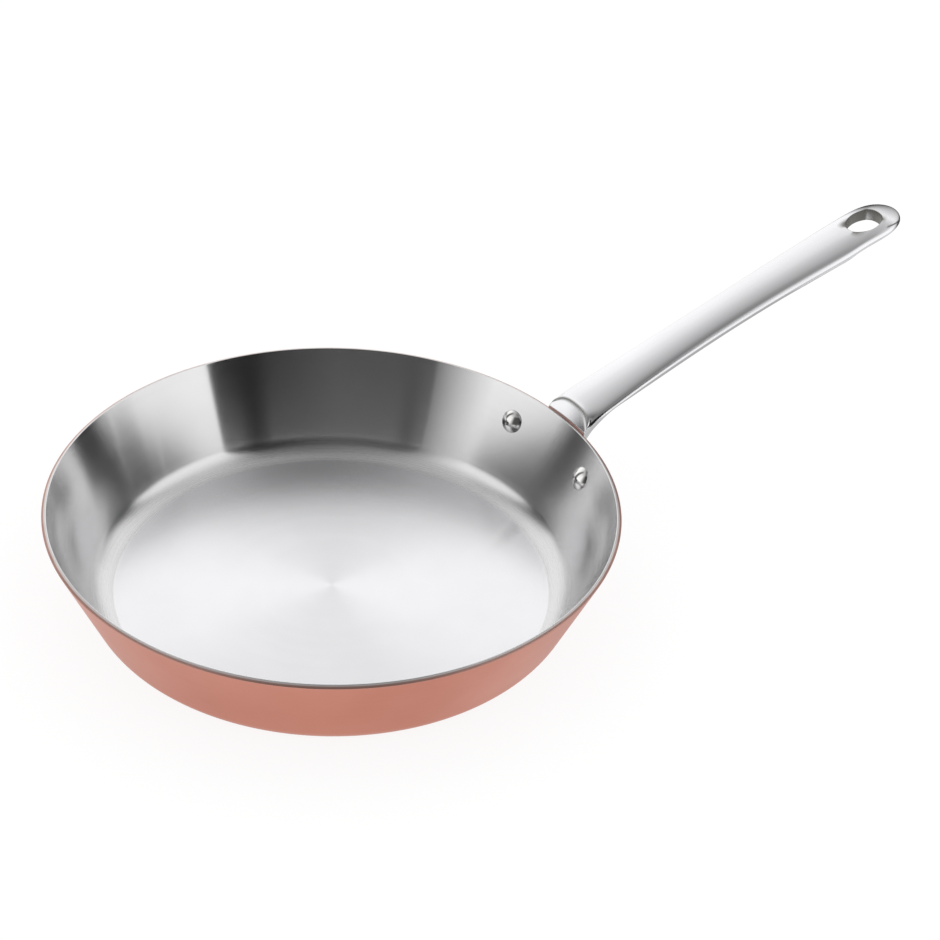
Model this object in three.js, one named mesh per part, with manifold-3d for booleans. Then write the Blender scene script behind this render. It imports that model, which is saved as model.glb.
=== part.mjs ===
// Frying pan: a clad copper, aluminium and steel bowl with a riveted cast handle.
// Millimetres, +Z up. The origin is the middle of the underside, the handle points along +X.

import * as THREE from 'three';
import { mergeVertices } from 'three/addons/utils/BufferGeometryUtils.js';
import Module from 'manifold-3d';

const wasm = await Module();
wasm.setup();

// Bowl
const rim_radius = 130;            // outer edge of the rim
const rim_height = 47.5;           // outer edge of the rim above the table
const wall_angle = 65;             // degrees between the wall and the table
const corner_radius = 12;          // inside, between the floor and the wall
const copper_thickness = 0.5;
const core_thickness = 1.4;
const liner_thickness = 0.4;

// Handle bar, above the rim
const handle_reach = 194.8;        // from the rim's outer edge to the tip
const neck_rise = 5.6;             // edge line above the rim where the bar leaves the neck
const tip_rise = 57.9;             // edge line's chord above the rim at the tip
const handle_arch = 3.1;           // edge line above its own chord, half way
const tip_droop = 1;               // how far the tail's end levels off below its chord, at the tip
const droop_run = 25;              // from the start of the droop to the tip
const neck_width = 25.4;
const waist_width = 20.7;
const waist_from_rim = 84;
const tail_width = 26;
const tail_round = 17;             // length of the tail's round end
const edge_height = 4.3;           // side strip between the two crowned faces, along the bar
const neck_edge_height = 1.2;      // the same strip at the neck
const tip_edge_height = 3;         // the same strip at the tip
const edge_bulge = 0.5;            // side strip's swell beyond the crease
const top_crown = 2.6;             // at the tail's width
const bottom_crown = 1.2;          // at the tail's width
const crown_power = 3;             // 2 is a plain parabola, more is flatter in the middle

// Neck, where a keel under the bar runs down into the flange
const neck_setback = 4;            // from the rim's outer edge to the bar's first edge point
const neck_run = 45;               // from there to where the side strip has its full height
const keel_run = 34;               // from the rim's outer edge to the end of the keel
const keel_depth = 10.5;           // keel below the bar's underside at the rim's outer edge

// Hanging hole
const hole_length = 20.5;
const hole_width = 16.2;
const hole_from_tip = 20.2;        // tip to the hole's middle, along the bar

// Flange
const flange_height = 22;          // along the wall, and the diameter of its round ends
const flange_thickness = 3.4;

// Rivets
const rivet_pitch = 56;
const rivet_drop = 15;             // along the wall, from the rim's outer edge
const shank_diameter = 6;
const head_diameter = 11;
const head_height = 2.8;
const tail_diameter = 9.6;
const tail_height = 2;
const rivet_edge = 0.5;            // upright edge under each dome

// Clearances
const bond_clearance = 0.02;       // between the bowl's layers
const seat_clearance = 0.3;        // flange to the wall, and under the rivets' heads
const shank_clearance = 0.3;       // rivet shank to its holes, on each side

// Fineness of the turned and lofted surfaces
const turn_segments = 72;
const corner_segments = 5;
const rivet_segments = 24;
const dome_segments = 4;
const crown_segments = 10;
const bar_stations = 18;
const tail_stations = 7;
const hole_segments = 32;

// Values that follow from the sizes above
const core_depth = copper_thickness + bond_clearance;
const liner_depth = core_depth + core_thickness + bond_clearance;
const sheet = liner_depth + liner_thickness;
const slope = THREE.MathUtils.degToRad(wall_angle);
const along = new THREE.Vector2(Math.cos(slope), Math.sin(slope));
const outward = new THREE.Vector2(Math.sin(slope), -Math.cos(slope));
const rim_edge = new THREE.Vector2(rim_radius, rim_height);
const corner_outer = corner_radius + sheet;
const corner_height = corner_outer;
const wall_length = (rim_height - corner_height - corner_outer * outward.y) / along.y;
const corner_middle = new THREE.Vector2(
  rim_radius - wall_length * along.x - corner_outer * outward.x,
  corner_height,
);
const tip_x = rim_radius + handle_reach;
const tail_x = tip_x - tail_round;
const neck_x = rim_radius + neck_setback;
const flange_width = rivet_pitch + flange_height;

const copper = new THREE.MeshStandardMaterial({ color: 0xc4806e, roughness: 0.38, metalness: 1 });
const aluminium = new THREE.MeshStandardMaterial({ color: 0xa9aaac, roughness: 0.5, metalness: 1 });
const brushed_steel = new THREE.MeshStandardMaterial({ color: 0xcfcfce, roughness: 0.35, metalness: 1 });
const polished_steel = new THREE.MeshStandardMaterial({ color: 0xd9d9d8, roughness: 0.2, metalness: 1 });

// A point of the wall's section: down the wall from the rim, and out from the outer face.
function wall_point(down, out) {
  return rim_edge.clone().addScaledVector(along, -down).addScaledVector(outward, out);
}

// The bowl's section at a depth below the outer face, from the axis out to the end of the wall.
function bowl_line(depth, extra = 0) {
  const points = [new THREE.Vector2(0, depth)];
  const radius = corner_outer - depth;
  for (let step = 0; step <= corner_segments; step += 1) {
    const turn = (slope * step) / corner_segments;
    const reach = new THREE.Vector2(Math.sin(turn), -Math.cos(turn));
    points.push(corner_middle.clone().addScaledVector(reach, radius));
  }
  points.push(wall_point(-extra, -depth));
  return points;
}

// A solid turned about Z from a section in the XZ plane.
function turned(points, segments = turn_segments) {
  return new THREE.LatheGeometry(points, segments).rotateX(Math.PI / 2);
}

// A closed geometry as a solid that can be joined and cut.
function solid(geometry) {
  const bare = geometry.clone();
  bare.deleteAttribute('normal');
  bare.deleteAttribute('uv');
  const merged = mergeVertices(bare, 1e-4);
  const corners = merged.index.array;
  const kept = [];
  for (let at = 0; at < corners.length; at += 3) {
    const [a, b, c] = corners.slice(at, at + 3);
    if (a !== b && b !== c && c !== a) {
      kept.push(a, b, c);
    }
  }
  return new wasm.Manifold(new wasm.Mesh({
    numProp: 3,
    vertProperties: new Float32Array(merged.attributes.position.array),
    triVerts: new Uint32Array(kept),
  }));
}

function piece(name, body, material) {
  const mesh = body.getMesh();
  const geometry = new THREE.BufferGeometry();
  geometry.setAttribute('position', new THREE.BufferAttribute(mesh.vertProperties, 3));
  geometry.setIndex(new THREE.BufferAttribute(mesh.triVerts, 1));
  geometry.computeVertexNormals();
  const part = new THREE.Mesh(geometry, material);
  part.name = name;
  return part;
}

// Where a rivet goes through the wall's outer face, its local Y pointing straight out of the wall.
function rivet_place(side) {
  const spot = wall_point(rivet_drop, 0);
  const turn = side * Math.asin(rivet_pitch / 2 / spot.x);
  const direction = new THREE.Vector3(
    outward.x * Math.cos(turn),
    outward.x * Math.sin(turn),
    outward.y,
  );
  const position = new THREE.Vector3(spot.x * Math.cos(turn), spot.x * Math.sin(turn), spot.y);
  const facing = new THREE.Quaternion().setFromUnitVectors(new THREE.Vector3(0, 1, 0), direction);
  return new THREE.Matrix4().compose(position, facing, new THREE.Vector3(1, 1, 1));
}

function rivet_hole(side) {
  const radius = shank_diameter / 2 + shank_clearance;
  const length = 4 * (sheet + flange_thickness);
  const drill = new THREE.CylinderGeometry(radius, radius, length, rivet_segments);
  return solid(drill.applyMatrix4(rivet_place(side)));
}

// The bowl's three bonded layers, each between two depths below the outer face.
function ply(outer_depth, inner_depth) {
  const section = bowl_line(outer_depth).concat(bowl_line(inner_depth).reverse());
  return solid(turned(section)).subtract(rivet_hole(1)).subtract(rivet_hole(-1));
}

// A domed end of a rivet: points from the outer edge of the dome to its middle.
function dome(radius, height, seat, toward) {
  const points = [];
  for (let step = 0; step <= dome_segments; step += 1) {
    const turn = (Math.PI / 2) * (step / dome_segments);
    const rise = rivet_edge + (height - rivet_edge) * Math.sin(turn);
    const reach = step === dome_segments ? 0 : radius * Math.cos(turn);
    points.push(new THREE.Vector2(reach, seat + toward * rise));
  }
  return points;
}

// One rivet: a domed head inside the bowl, a shank, and a domed tail outside the flange.
function rivet(side) {
  const head_seat = -sheet - seat_clearance;
  const tail_seat = seat_clearance + flange_thickness + seat_clearance;
  const section = dome(head_diameter / 2, head_height, head_seat, -1).reverse().concat([
    new THREE.Vector2(head_diameter / 2, head_seat),
    new THREE.Vector2(shank_diameter / 2, head_seat),
    new THREE.Vector2(shank_diameter / 2, tail_seat),
    new THREE.Vector2(tail_diameter / 2, tail_seat),
  ], dome(tail_diameter / 2, tail_height, tail_seat, 1));
  return solid(new THREE.LatheGeometry(section, rivet_segments).applyMatrix4(rivet_place(side)));
}

// Height of the bar's edge line: an arch over the chord from the neck to the tip, levelling off at its end.
function edge_line(x) {
  const share = (x - neck_x) / (tip_x - neck_x);
  const chord = THREE.MathUtils.lerp(neck_rise, tip_rise, share);
  const droop = tip_droop * Math.max(0, 1 - (tip_x - x) / droop_run) ** 2;
  return rim_height + chord + handle_arch * 4 * share * (1 - share) - droop;
}

// Height of the side strip, which thins out towards the neck and the tip.
function strip_height(x) {
  const past_neck = Math.max(0, x - neck_x);
  const bar = THREE.MathUtils.lerp(edge_height, tip_edge_height, (past_neck / (tip_x - neck_x)) ** 3);
  return bar - (edge_height - neck_edge_height) * Math.max(0, 1 - past_neck / neck_run) ** 2;
}

// Half the bar's width between its creases: a waisted curve from the neck to the round tail.
const waist_curve = new THREE.QuadraticBezierCurve(
  new THREE.Vector2(neck_x, neck_width / 2),
  new THREE.Vector2(
    2 * (rim_radius + waist_from_rim) - (neck_x + tail_x) / 2,
    waist_width - (neck_width + tail_width) / 4,
  ),
  new THREE.Vector2(tail_x, tail_width / 2),
);

// One cross-section of the handle, at a place along X.
function bar_section(x, half_width) {
  const edge = edge_line(x);
  const strip = strip_height(x);
  const fullness = half_width / (tail_width / 2);
  const keel = keel_depth * Math.max(0, (rim_radius + keel_run - x) / keel_run) ** 2;
  const swell = half_width + edge_bulge * fullness;
  const ring = [];
  for (let step = 0; step <= crown_segments; step += 1) {
    const across = 1 - (2 * step) / crown_segments;
    const lift = top_crown * fullness * (1 - Math.abs(across) ** crown_power);
    ring.push(new THREE.Vector3(x, across * half_width, edge + lift));
  }
  ring.push(new THREE.Vector3(x, -swell, edge - strip / 2));
  for (let step = 0; step <= crown_segments; step += 1) {
    const across = -1 + (2 * step) / crown_segments;
    const sag = (bottom_crown * fullness + keel) * (1 - across * across);
    ring.push(new THREE.Vector3(x, across * half_width, edge - strip - sag));
  }
  ring.push(new THREE.Vector3(x, swell, edge - strip / 2));
  return ring;
}

// A closed skin over a row of rings that all have the same number of points.
function lofted(rings) {
  const count = rings[0].length;
  const corners = [];
  const push = (a, b, c) => corners.push(a, b, c);
  for (let row = 0; row + 1 < rings.length; row += 1) {
    for (let at = 0; at < count; at += 1) {
      const next = (at + 1) % count;
      const here = row * count;
      const there = here + count;
      push(here + at, here + next, there + next);
      push(here + at, there + next, there + at);
    }
  }
  const last = (rings.length - 1) * count;
  for (let at = 1; at + 1 < count; at += 1) {
    push(0, at + 1, at);
    push(last, last + at, last + at + 1);
  }
  const geometry = new THREE.BufferGeometry().setFromPoints(rings.flat());
  geometry.setIndex(corners);
  return geometry;
}

// The bar with its neck, still running on into the bowl's wall.
function bar() {
  const root_x = rim_radius - (rivet_drop + flange_height / 2) * along.x;
  const rings = [bar_section(root_x, neck_width / 2)];
  for (let step = 0; step <= bar_stations; step += 1) {
    const spot = waist_curve.getPoint(step / bar_stations);
    rings.push(bar_section(spot.x, spot.y));
  }
  for (let step = 1; step <= tail_stations; step += 1) {
    const turn = (Math.PI / 2) * (step / (tail_stations + 0.4));
    rings.push(bar_section(tail_x + tail_round * Math.sin(turn), (tail_width / 2) * Math.cos(turn)));
  }
  return solid(lofted(rings));
}

// The flange: a strip of the cone round the wall, trimmed to a long outline with round ends.
function flange() {
  const band = flange_height;
  const strip = solid(turned([
    wall_point(rivet_drop + band, seat_clearance),
    wall_point(rivet_drop + band, seat_clearance + flange_thickness),
    wall_point(rivet_drop - band, seat_clearance + flange_thickness),
    wall_point(rivet_drop - band, seat_clearance),
    wall_point(rivet_drop + band, seat_clearance),
  ]));
  const end = flange_height / 2;
  const straight = flange_width / 2 - end;
  const outline = new THREE.Shape();
  outline.moveTo(-straight, -end);
  outline.lineTo(straight, -end);
  outline.absarc(straight, 0, end, -Math.PI / 2, Math.PI / 2);
  outline.lineTo(-straight, end);
  outline.absarc(-straight, 0, end, Math.PI / 2, (3 * Math.PI) / 2);
  const depth = rim_radius / 2;
  const trim = new THREE.ExtrudeGeometry(outline, { depth, bevelEnabled: false, curveSegments: 12 });
  trim.translate(0, 0, -depth / 2);
  const middle = wall_point(rivet_drop, 0);
  trim.applyMatrix4(new THREE.Matrix4().makeBasis(
    new THREE.Vector3(0, 1, 0),
    new THREE.Vector3(along.x, 0, along.y),
    new THREE.Vector3(outward.x, 0, outward.y),
  ).setPosition(middle.x, 0, middle.y));
  return strip.intersect(solid(trim));
}

// The long hole through the tail, square to the bar.
function hanging_hole() {
  const pitch = Math.atan2(edge_line(tip_x) - edge_line(tail_x), tip_x - tail_x);
  const x = tip_x - hole_from_tip * Math.cos(pitch);
  const outline = new THREE.Shape().absellipse(0, 0, hole_length / 2, hole_width / 2, 0, 2 * Math.PI);
  const depth = 6 * (edge_height + top_crown + bottom_crown);
  const cutter = new THREE.ExtrudeGeometry(outline, { depth, bevelEnabled: false, curveSegments: hole_segments });
  cutter.translate(0, 0, -depth / 2).rotateY(-pitch).translate(x, 0, edge_line(x) - strip_height(x) / 2);
  return solid(cutter);
}

// Everything inside the wall's outer face and its upward extension, plus the flange's clearance.
function bowl_space() {
  const section = bowl_line(-seat_clearance, 2 * (neck_rise + top_crown));
  const top = section[section.length - 1];
  return solid(turned(section.concat([new THREE.Vector2(0, top.y)])));
}

function handle() {
  return bar()
    .add(flange())
    .subtract(bowl_space())
    .subtract(hanging_hole())
    .subtract(rivet_hole(1))
    .subtract(rivet_hole(-1));
}

const pan = new THREE.Group();
pan.add(
  piece('copper_shell', ply(0, copper_thickness), copper),
  piece('aluminium_core', ply(core_depth, core_depth + core_thickness), aluminium),
  piece('steel_liner', ply(liner_depth, sheet), brushed_steel),
  piece('handle', handle(), polished_steel),
  piece('rivet_left', rivet(1), polished_steel),
  piece('rivet_right', rivet(-1), polished_steel),
);

export default pan;
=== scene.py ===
"""A clad frying pan: copper outside, aluminium core, brushed steel inside, one riveted steel handle."""

import logging
from collections.abc import Callable
from dataclasses import dataclass
from enum import Enum
from math import asin, atan2, cos, degrees, pi, radians, sin, sqrt, tan, tau

import bmesh
import bpy
from mathutils import Matrix, Vector


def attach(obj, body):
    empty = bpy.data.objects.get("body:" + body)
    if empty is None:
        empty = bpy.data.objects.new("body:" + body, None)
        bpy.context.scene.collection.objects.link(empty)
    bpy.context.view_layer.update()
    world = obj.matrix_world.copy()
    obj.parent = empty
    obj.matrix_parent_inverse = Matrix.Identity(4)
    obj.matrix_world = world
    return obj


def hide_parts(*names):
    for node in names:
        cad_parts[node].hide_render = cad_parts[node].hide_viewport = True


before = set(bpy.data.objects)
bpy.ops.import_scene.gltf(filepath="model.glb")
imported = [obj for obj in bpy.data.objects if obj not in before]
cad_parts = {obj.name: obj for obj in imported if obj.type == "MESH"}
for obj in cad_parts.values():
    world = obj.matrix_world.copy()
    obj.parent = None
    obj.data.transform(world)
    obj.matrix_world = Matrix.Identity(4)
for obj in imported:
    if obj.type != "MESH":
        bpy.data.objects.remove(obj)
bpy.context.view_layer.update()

log = logging.getLogger("frying_pan")

MM = 0.001
WELD_DISTANCE = 0.001 * MM
PHOTO_PIXELS = 940
# Mesh layer that marks where the handle is rough and painted dark: painted shade in the hole, a painted dark
# reflection line on the brow.
CAST_AND_SHADE_LAYER = "cast_and_shade"
COVER_LAYER = "cover"

Colour = tuple[float, float, float]


class Slot(Enum):
    """The material slots, by name."""

    COPPER = "copper"
    CORE = "core"
    LINER = "liner"
    HANDLE = "handle"
    RIVET = "rivet"


class Side(Enum):
    """The two sides of the handle that carry a rivet."""

    LEFT = 1
    RIGHT = -1


# Mesh helpers


def lerp(low: float, high: float, share: float) -> float:
    """The value at a share of the way from low to high."""
    return low + (high - low) * share


def mm(*lengths: float) -> tuple[float, ...]:
    """Lengths in millimetres, given back in metres."""
    return tuple(length * MM for length in lengths)


def verts_of(geometry: list) -> list[bmesh.types.BMVert]:
    """The vertices in a list of bmesh elements."""
    return [item for item in geometry if isinstance(item, bmesh.types.BMVert)]


def edges_of(geometry: list) -> list[bmesh.types.BMEdge]:
    """The edges in a list of bmesh elements."""
    return [item for item in geometry if isinstance(item, bmesh.types.BMEdge)]


def faces_of(geometry: list) -> list[bmesh.types.BMFace]:
    """The faces in a list of bmesh elements."""
    return [item for item in geometry if isinstance(item, bmesh.types.BMFace)]


def finish_mesh(shape: bmesh.types.BMesh, name: str, sharp_angle: float) -> bpy.types.Object:
    """Turns a finished bmesh into a smooth shaded object at the origin.

    Args:
        shape: The bmesh, which is freed.
        name: Name of the object and of its mesh.
        sharp_angle: Edges that bend more than this stay sharp.

    Returns:
        The new object, linked to the scene.
    """
    bmesh.ops.recalc_face_normals(shape, faces=shape.faces)
    mesh = bpy.data.meshes.new(name)
    shape.to_mesh(mesh)
    shape.free()
    mesh.shade_smooth()
    mesh.set_sharp_from_angle(angle=sharp_angle)
    piece = bpy.data.objects.new(name, mesh)
    bpy.context.scene.collection.objects.link(piece)
    return piece


def mount_piece(piece: bpy.types.Object, node: str, material: bpy.types.Material) -> None:
    """Dresses a piece and sets it in the place of its CAD node.

    Args:
        piece: The finished object.
        node: The CAD node that the piece stands for.
        material: The finish.
    """
    piece.data.materials.append(material)
    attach(piece, "root")
    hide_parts(node)
    log.info("%s stands for %s, %d faces", piece.name, node, len(piece.data.polygons))


class SectionPen:
    """Draws the half section of a turned piece in the XZ plane, stroke by stroke, and turns it."""

    def __init__(self, start: Vector) -> None:
        """Starts the line.

        Args:
            start: Radius and height of the first point.
        """
        self.shape = bmesh.new()
        self.tip = self._add(start)

    def _add(self, spot: Vector) -> bmesh.types.BMVert:
        """A vertex at a radius and height."""
        return bmesh.ops.create_vert(self.shape, co=(spot.x, 0, spot.y))["vert"][0]

    def _step(self, spot: Vector) -> None:
        """Extrudes the tip to a radius and height."""
        made = bmesh.ops.extrude_vert_indiv(self.shape, verts=[self.tip])
        self.tip = made["verts"][0]
        self.tip.co = (spot.x, 0, spot.y)

    def line(self, end: Vector, margin: float = 0.0) -> None:
        """Draws a straight stroke.

        Args:
            end: Radius and height of the stroke's end.
            margin: Where above 0, a supporting point stands this far from each end.
        """
        start = Vector((self.tip.co.x, self.tip.co.z))
        length = (end - start).length
        if margin > 0:
            for share in (margin / length, 1 - margin / length):
                self._step(start.lerp(end, share))
        self._step(end)

    def arc(self, centre: Vector, angle: float, steps: int) -> None:
        """Draws a round stroke.

        Args:
            centre: Radius and height of the arc's centre.
            angle: Turn of the arc, anticlockwise where it is above 0.
            steps: Number of segments.
        """
        made = bmesh.ops.spin(
            self.shape,
            geom=[self.tip],
            cent=(centre.x, 0, centre.y),
            axis=(0, -1, 0),
            angle=angle,
            steps=steps,
        )
        self.tip = verts_of(made["geom_last"])[0]

    def turn(self, steps: int, angle: float = tau) -> bmesh.types.BMesh:
        """Turns the section round the Z axis.

        Args:
            steps: Number of segments of the turn.
            angle: How far it turns. A full turn closes on itself.

        Returns:
            The turned bmesh.
        """
        bmesh.ops.spin(
            self.shape,
            geom=self.shape.verts[:] + self.shape.edges[:],
            cent=(0, 0, 0),
            axis=(0, 0, 1),
            angle=angle,
            steps=steps,
            use_merge=angle == tau,
        )
        bmesh.ops.remove_doubles(self.shape, verts=self.shape.verts, dist=WELD_DISTANCE)
        return self.shape


# Finishes


class NodeBoard:
    """Places and links the nodes of one node tree."""

    def __init__(self, tree: bpy.types.NodeTree) -> None:
        """Keeps the tree.

        Args:
            tree: The tree of a material, world or node group.
        """
        self.tree = tree

    def feed(self, node: bpy.types.Node, feeds: dict) -> None:
        """Sets or links a node's inputs.

        Args:
            node: The node.
            feeds: Values or output sockets, by the name or index of the input.
        """
        for key, value in feeds.items():
            if isinstance(value, bpy.types.NodeSocket):
                self.tree.links.new(value, node.inputs[key])
            else:
                node.inputs[key].default_value = value

    def add(self, kind: str, feeds: dict | None = None, **settings: object) -> bpy.types.Node:
        """Adds a node.

        Args:
            kind: The node's type.
            feeds: What goes into its inputs.
            settings: Properties of the node.

        Returns:
            The node.
        """
        node = self.tree.nodes.new(kind)
        for key, value in settings.items():
            setattr(node, key, value)
        self.feed(node, feeds or {})
        return node

    def math(self, operation: str, *values: object) -> bpy.types.NodeSocket:
        """The output of a Math node on values or sockets."""
        return self.add("ShaderNodeMath", dict(enumerate(values)), operation=operation).outputs[0]

    def ramp(
        self, value: bpy.types.NodeSocket, low: float, high: float, bottom: float = 0.0, top: float = 1.0
    ) -> bpy.types.NodeSocket:
        """The output of a Map Range node from low..high to bottom..top."""
        feeds = {"Value": value, "From Min": low, "From Max": high, "To Min": bottom, "To Max": top}
        return self.add("ShaderNodeMapRange", feeds).outputs["Result"]

    def blend(
        self,
        share: bpy.types.NodeSocket,
        first: Colour | bpy.types.NodeSocket,
        second: Colour | bpy.types.NodeSocket,
    ) -> bpy.types.NodeSocket:
        """Mixes two colours.

        Args:
            share: Share of the second colour.
            first: A colour, or a socket that gives one.
            second: A colour, or a socket that gives one.

        Returns:
            The mixed colour.
        """
        mix = self.add("ShaderNodeMix", {0: share}, data_type="RGBA")
        colours = [socket for socket in mix.inputs if socket.type == "RGBA"]
        for socket, colour in zip(colours, (first, second)):
            if isinstance(colour, bpy.types.NodeSocket):
                self.tree.links.new(colour, socket)
            else:
                socket.default_value = (*colour, 1)
        return next(socket for socket in mix.outputs if socket.type == "RGBA")

    def bump(self, height: bpy.types.NodeSocket, strength: float, depth: float) -> bpy.types.NodeSocket:
        """The normal from a Bump node."""
        feeds = {"Height": height, "Strength": strength, "Distance": depth}
        return self.add("ShaderNodeBump", feeds).outputs["Normal"]

    def metal(self, feeds: dict) -> None:
        """Makes a material's own shader a metal, with values or sockets for its inputs."""
        self.feed(self.tree.nodes["Principled BSDF"], {"Metallic": 1.0, **feeds})

    def surface(self, shader: bpy.types.NodeSocket) -> None:
        """Puts a shader on a material in the place of its own."""
        self.tree.nodes.remove(self.tree.nodes["Principled BSDF"])
        self.feed(self.tree.nodes["Material Output"], {"Surface": shader})


def new_material(name: str) -> tuple[bpy.types.Material, NodeBoard]:
    """Makes a material with nodes.

    Args:
        name: Name of the material.

    Returns:
        The material, and a board for its nodes.
    """
    material = bpy.data.materials.new(name)
    material.use_nodes = True
    return material, NodeBoard(material.node_tree)


def new_group(name: str, inputs: dict[str, float], outputs: list[str]) -> bpy.types.NodeTree:
    """Makes an empty shader node group.

    Args:
        name: Name of the group.
        inputs: Float inputs with their defaults.
        outputs: Float outputs.

    Returns:
        The group's tree.
    """
    group = bpy.data.node_groups.new(name, "ShaderNodeTree")
    for label, value in inputs.items():
        socket = group.interface.new_socket(label, in_out="INPUT", socket_type="NodeSocketFloat")
        socket.default_value = value
    for label in outputs:
        group.interface.new_socket(label, in_out="OUTPUT", socket_type="NodeSocketFloat")
    return group


@dataclass
class SurfaceEffects:
    """The node groups that the finishes share."""

    noise_low: float = 0.3
    noise_high: float = 0.7
    turned_lines: bpy.types.NodeTree | None = None
    handling_marks: bpy.types.NodeTree | None = None

    def build(self) -> None:
        """Builds both groups."""
        self.turned_lines = self._build_turned_lines()
        self.handling_marks = self._build_handling_marks()

    def _build_turned_lines(self) -> bpy.types.NodeTree:
        """Fine lines round the Z axis, as left by brushing a turning bowl.

        Returns:
            A group that puts out Lines, from 0 to 1, and Radius, the distance from the axis.
        """
        group = new_group("turned lines", {"Density": 2000.0, "Run": 12.0}, ["Lines", "Radius"])
        board = NodeBoard(group)
        entry = board.add("NodeGroupInput")
        spot = board.add("ShaderNodeTexCoord").outputs["Object"]
        parts = board.add("ShaderNodeSeparateXYZ", {"Vector": spot})
        level = board.add("ShaderNodeCombineXYZ", {"X": parts.outputs["X"], "Y": parts.outputs["Y"]})
        radius = board.add("ShaderNodeVectorMath", {0: level.outputs[0]}, operation="LENGTH").outputs["Value"]
        travel = board.math("ADD", radius, parts.outputs["Z"])
        across = board.math("MULTIPLY", travel, entry.outputs["Density"])
        run_x = board.math("MULTIPLY", parts.outputs["X"], entry.outputs["Run"])
        run_y = board.math("MULTIPLY", parts.outputs["Y"], entry.outputs["Run"])
        place = board.add("ShaderNodeCombineXYZ", {"X": run_x, "Y": run_y, "Z": across})
        noise = board.add("ShaderNodeTexNoise", {"Vector": place.outputs[0], "Scale": 1.0, "Detail": 3.0})
        lines = board.ramp(noise.outputs["Fac"], self.noise_low, self.noise_high)
        board.add("NodeGroupOutput", {"Lines": lines, "Radius": radius})
        return group

    def _build_handling_marks(self) -> bpy.types.NodeTree:
        """Broad soft marks, as left by wiping and handling.

        Returns:
            A group that puts out Marks, from 0 to 1.
        """
        group = new_group("handling marks", {"Scale": 20.0, "Stretch": 1.0}, ["Marks"])
        board = NodeBoard(group)
        entry = board.add("NodeGroupInput")
        spot = board.add("ShaderNodeTexCoord").outputs["Object"]
        parts = board.add("ShaderNodeSeparateXYZ", {"Vector": spot})
        along = board.math("DIVIDE", parts.outputs["X"], entry.outputs["Stretch"])
        feeds = {"X": along, "Y": parts.outputs["Y"], "Z": parts.outputs["Z"]}
        place = board.add("ShaderNodeCombineXYZ", feeds)
        feeds = {"Vector": place.outputs[0], "Scale": entry.outputs["Scale"], "Detail": 4.0}
        noise = board.add("ShaderNodeTexNoise", feeds)
        marks = board.ramp(noise.outputs["Fac"], self.noise_low, self.noise_high)
        board.add("NodeGroupOutput", {"Marks": marks})
        return group


@dataclass(frozen=True)
class MetalFinish:
    """A metal with turned lines and handling marks in its colour, roughness and bump.

    Where it has a lip, the metal takes the lip's colour above a height.
    """

    name: str
    dark: Colour
    light: Colour
    roughness: tuple[float, float]
    line_density: float = 2000.0
    line_roughness: float = 0.0
    line_bump: float = 0.0
    line_depth: float = 0.01 * MM
    mark_scale: float = 20.0
    lip: Colour | None = None
    lip_height: float = 0.0
    lip_fade: float = 0.5 * MM

    def material(self, effects: SurfaceEffects) -> bpy.types.Material:
        """Builds the material.

        Args:
            effects: The shared node groups.

        Returns:
            The material.
        """
        material, board = new_material(self.name)
        feeds = {"Density": self.line_density}
        lines = board.add("ShaderNodeGroup", feeds, node_tree=effects.turned_lines).outputs["Lines"]
        feeds = {"Scale": self.mark_scale}
        marks = board.add("ShaderNodeGroup", feeds, node_tree=effects.handling_marks).outputs["Marks"]
        colour = board.blend(marks, self.dark, self.light)
        if self.lip is not None:
            spot = board.add("ShaderNodeTexCoord").outputs["Object"]
            height = board.add("ShaderNodeSeparateXYZ", {"Vector": spot}).outputs["Z"]
            share = board.ramp(height, self.lip_height - self.lip_fade, self.lip_height)
            colour = board.blend(share, colour, self.lip)
        low, high = self.roughness
        base = board.ramp(marks, 0.0, 1.0, high, low)
        lined = board.math("MULTIPLY_ADD", lines, self.line_roughness, base)
        feeds = {"Base Color": colour, "Roughness": lined}
        if self.line_bump > 0:
            feeds["Normal"] = board.bump(lines, self.line_bump, self.line_depth)
        board.metal(feeds)
        return material


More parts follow.
